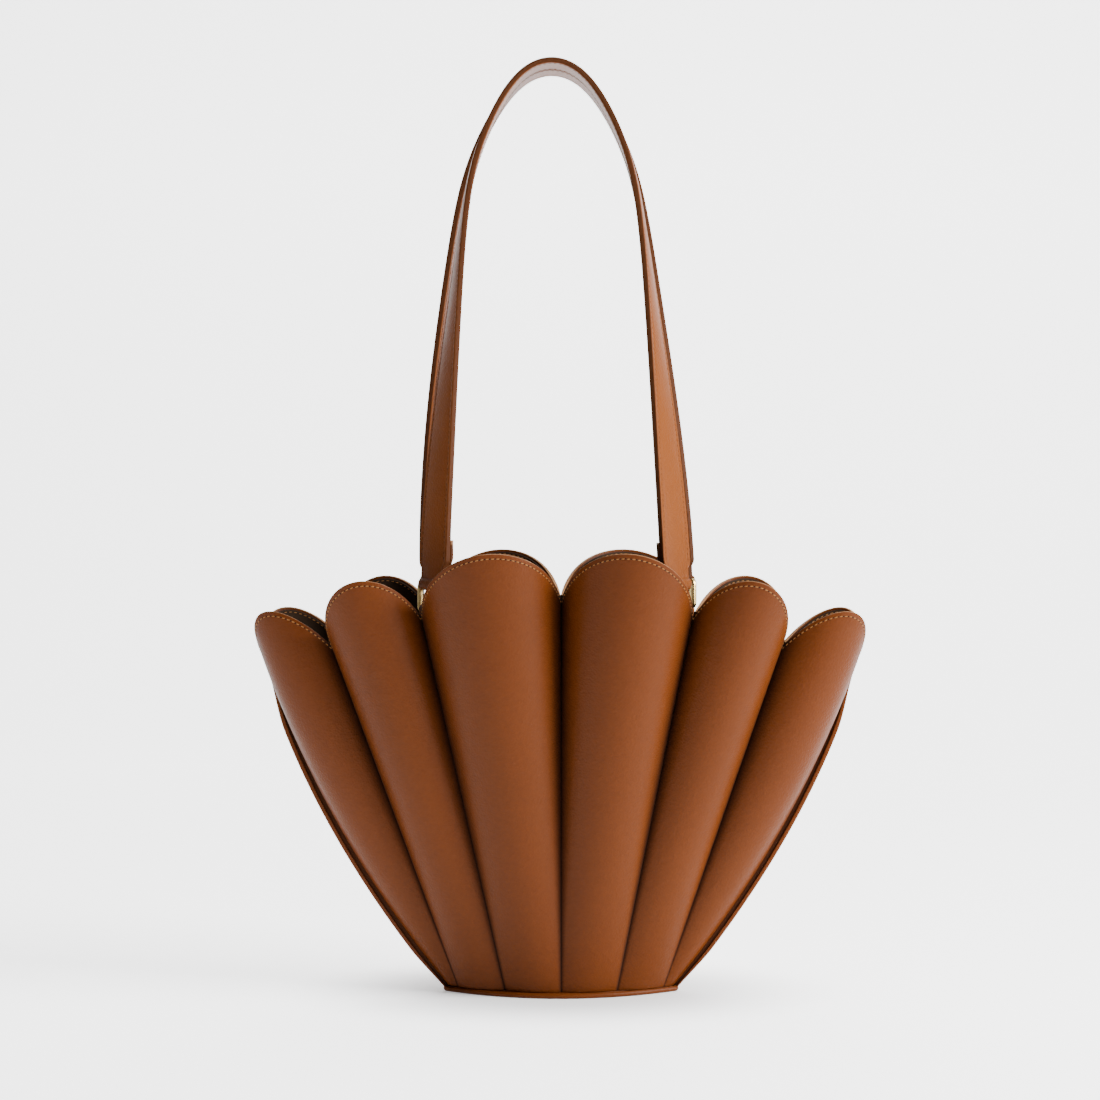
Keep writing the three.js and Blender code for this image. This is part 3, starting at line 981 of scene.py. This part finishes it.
def strap_path(panel, turned):
    """The middle line of a strap, with the directions along, across and out of its face."""
    left, right = loop_places[panel]
    shift = strap_top_shifts[panel]
    middle = (left.centre[0] + right.centre[0]) / 2
    foot = loop_height + bar_offset
    legs = [leg_points(place, middle, shift, sway) for place, sway in zip((left, right), leg_sways[panel])]
    top = np.array([[shift, -(strap_width + strap_gap) / 2, foot + strap_rise]])
    dense = smooth_line(np.concatenate([legs[0], top, legs[1][::-1]]), 4000)
    travelled = distances(dense)
    length = travelled[-1]
    where = np.linspace(tube_start, length - tube_start, int(length / strap_spacing))
    centres = along_line(dense, travelled, where)
    along = unit(np.gradient(centres, axis=0))
    rise = np.clip((centres[:, 2] - foot) / strap_rise, 0, 1)
    side = np.where(np.arange(len(where)) < np.argmax(centres[:, 2]), -1, 1)
    turn = side * (math.pi / 2 - loop_turn) * np.cos(math.pi / 2 * rise) ** strap_twist
    across = np.stack([np.sin(turn), np.cos(turn), 0 * turn], axis=-1)
    across = unit(across - along * np.sum(across * along, axis=-1, keepdims=True))
    flip = half_turn if turned else np.ones(3)
    vectors = (rows * flip for rows in (centres, along, across, np.cross(along, across)))
    return StrapPath(*vectors, where, length)


paths = {panel: strap_path(panel, turned) for panel, turned in panels}
for panel, path in paths.items():
    print(panel, "strap length:", round(path.length, 3), "m")

# %% [markdown]
# The band has a low dome along its middle and rounded, painted edges, all from its section. Its
# ends go round the loops, so they are narrower, with slanted corners. The turned-back end
# is a third ply on the inner face, held by its own seams and by one across its cut end, which
# is left unpainted. The thread is nearly as brown as the leather, and the needle holes show
# as dark dots of painted shade.

# %% Straps
strap_ply = 1.4 * mm
strap_dome = 0.45 * mm
strap_corner = 0.6 * mm
strap_narrow = 8 * mm
strap_end_taper = 2 * mm
strap_seam_inset = 2 * mm
strap_seam_reach = strap_width / 2 - strap_seam_inset
fold_length = 20 * mm
fold_corner = 0.3 * mm
fold_inset = 0.05 * mm


def strap_half(path, from_end):
    widening = np.clip((from_end - strap_narrow) / strap_end_taper, 0, 1)
    return mix(strap_end_width, strap_width, widening) / 2


def edge_seam(path, side, height, rows):
    """The seam beside one edge of a strap, at a height over its middle."""
    line = path.centres + path.across * (side * strap_seam_reach) + path.out * height
    return line[rows], (path.out * np.sign(height))[rows]


def cross_seam(path, from_end, part):
    """The seam that goes across a strap near the cut end of its fold."""
    last = np.argmin(np.abs(from_end - (fold_length - strap_seam_inset)) + 10 * (~part))
    wide = np.linspace(-1, 1, 30)[:, None] * strap_seam_reach * path.across[last]
    line = path.centres[last] - path.out[last] * 2 * strap_ply + wide
    return line, np.repeat(-path.out[last:last + 1], len(wide), axis=0)


def strap_fold(name, path, part, half, cut_row):
    """The turned-back end of a strap, with its cut end marked as raw."""
    points, near = strip(
        path.centres[part], path.across[part], path.out[part], half[part] - fold_inset,
        -2 * strap_ply, -strap_ply - fold_inset, fold_corner,
    )
    made = body(name, points, sharp=50)
    mark(made, "edge", near)
    raw = np.zeros(near.shape)
    raw[cut_row] = 1
    mark(made, "raw", raw)
    dress(made, strap_leather)


def strap(panel, turned):
    path = paths[panel]
    from_end = np.minimum(path.where, path.length - path.where)
    half = strap_half(path, from_end)
    points, near = strip(
        path.centres, path.across, path.out, half, -strap_ply, strap_ply, strap_corner, strap_dome
    )
    band = body(f"{panel}_strap_band", points, sharp=50)
    mark(band, "edge", near)
    dress(band, strap_leather, f"{panel}_strap")
    full = from_end > strap_narrow + strap_end_taper
    lines = []
    for side in (-1, 1):
        lines.append(edge_seam(path, side, strap_ply - strap_dome / 2, full))
        lines.append(edge_seam(path, side, -strap_ply, full & (from_end > fold_length)))
    ends = (
        ("start", path.where < fold_length, -1, loop_places[panel][0]),
        ("end", path.where > path.length - fold_length, 0, loop_places[panel][1]),
    )
    for end, part, cut_row, place in ends:
        strap_fold(f"{panel}_strap_fold_{end}", path, part, half, cut_row)
        ring = bar_ring(
            f"{panel}_strap_ring_{end}", as_placed(place, turned), strap_ply, bar_offset
        )
        dress(ring, strap_leather)
        lines.extend(edge_seam(path, side, -2 * strap_ply, part & full) for side in (-1, 1))
        lines.append(cross_seam(path, from_end, part))
    grains(f"{panel}_strap_stitches", lines, strap_thread, stitch)
    grains(f"{panel}_strap_holes", lines, hole_shade, strap_hole_shade)
    return band


for panel, turned in panels:
    band = strap(panel, turned)
print("points in a strap:", len(band.data.vertices))

# %% [markdown]
# The bag stands in a plain studio. The floor turns up into a wall behind it in one soft curve, so
# no horizon shows from the front. One large soft lamp from the right models the flutes, and
# a weak one above fills the mouth. To look white in the picture the paper glows a little where
# the camera sees it. Round the foot of the bag the glow fades nearly to plain paper, which paints
# a soft shadow there on top of the real shadow under the base. Stronger lamps would whiten the
# paper too, but they would wash out the dark folds.

# %% Studio
backdrop_glow = 2.6
backdrop_bend = 0.6
backdrop_wall = 1.2
backdrop_near = -9.0
backdrop_half_width = 9.0
backdrop_height = 4.0
paper_white = (0.85, 0.85, 0.85, 1)
black = (0, 0, 0, 1)
white = (1, 1, 1, 1)
world_strength = 0.12
light_target = (0, 0, 0.2)


def fade(wire, shape, start, end, low, high):
    """Lead a number from low at the start to high at the end of its range."""
    sockets = {"Value": wire, "From Min": start, "From Max": end, "To Min": low, "To Max": high}
    return Wire.node(wire.tree, "ShaderNodeMapRange", {"interpolation_type": shape}, sockets)


def paper(name, colour, glow):
    material, place, surface = new_material(name)
    connect(colour * (0.995 + noise(place, 300, 2) * 0.01), surface, "Base Color")
    surface.inputs["Roughness"].default_value = 0.95
    surface.inputs["Specular IOR Level"].default_value = 0.1
    sideways = Wire.node(place.tree, "ShaderNodeSeparateXYZ", {}, {0: place}, output=0)
    depth = Wire.node(place.tree, "ShaderNodeSeparateXYZ", {}, {0: place}, output=1)
    beside = Wire.node(place.tree, "ShaderNodeMath", {"operation": "ABSOLUTE"}, {0: sideways})
    round_foot = place * (7.5, 10, 0)
    reach = Wire.node(
        place.tree, "ShaderNodeVectorMath", {"operation": "LENGTH"}, {0: round_foot}, output=1
    )
    behind = fade(depth, "SMOOTHERSTEP", -0.5, -0.26, 0, 1)
    central = fade(beside, "SMOOTHERSTEP", 0.62, 0.9, 1, 0)
    # Painted shadow: the glow drops to a tenth round the foot of the bag.
    painted_foot_shadow = fade(reach, "SMOOTHSTEP", 0.3, 1.1, 0.1, 1)
    connect(blend(behind * central * painted_foot_shadow, black, white), surface, "Emission Color")
    surface.inputs["Emission Strength"].default_value = glow
    return material


def backdrop():
    turn = np.radians(np.linspace(0, 90, 24))
    wall_y = backdrop_wall + backdrop_bend
    floor_y = np.concatenate([[backdrop_near], backdrop_wall + backdrop_bend * np.sin(turn), [wall_y]])
    floor_z = np.concatenate([[0.0], backdrop_bend * (1 - np.cos(turn)), [backdrop_height]])
    sides = (-backdrop_half_width, backdrop_half_width)
    points = [(x, y, z) for y, z in zip(floor_y, floor_z) for x in sides]
    faces = [[2 * i, 2 * i + 1, 2 * i + 3, 2 * i + 2] for i in range(len(floor_y) - 1)]
    mesh = bpy.data.meshes.new("backdrop")
    mesh.from_pydata(points, [], faces)
    mesh.shade_smooth()
    mesh.materials.append(paper("backdrop paper", paper_white, backdrop_glow))
    add_object("backdrop", mesh)


def lamp(name, place, size, power):
    data = bpy.data.lights.new(name, "AREA")
    data.shape = "RECTANGLE"
    data.size, data.size_y = size
    data.energy = power
    made = add_object(name, data)
    made.location = place
    aim = Vector(light_target) - Vector(place)
    made.rotation_euler = aim.to_track_quat("-Z", "Y").to_euler()


backdrop()
lamp("key", (1.6, -0.6, 0.9), (0.9, 1.2), 120)
lamp("top", (0.3, 0.1, 2.0), (1.2, 1.2), 16)
world = bpy.data.worlds.new("studio")
world.use_nodes = True
world.node_tree.nodes["Background"].inputs["Color"].default_value = white
world.node_tree.nodes["Background"].inputs["Strength"].default_value = world_strength
bpy.context.scene.world = world
print("lamps:", len([thing for thing in bpy.data.objects if thing.type == "LIGHT"]))
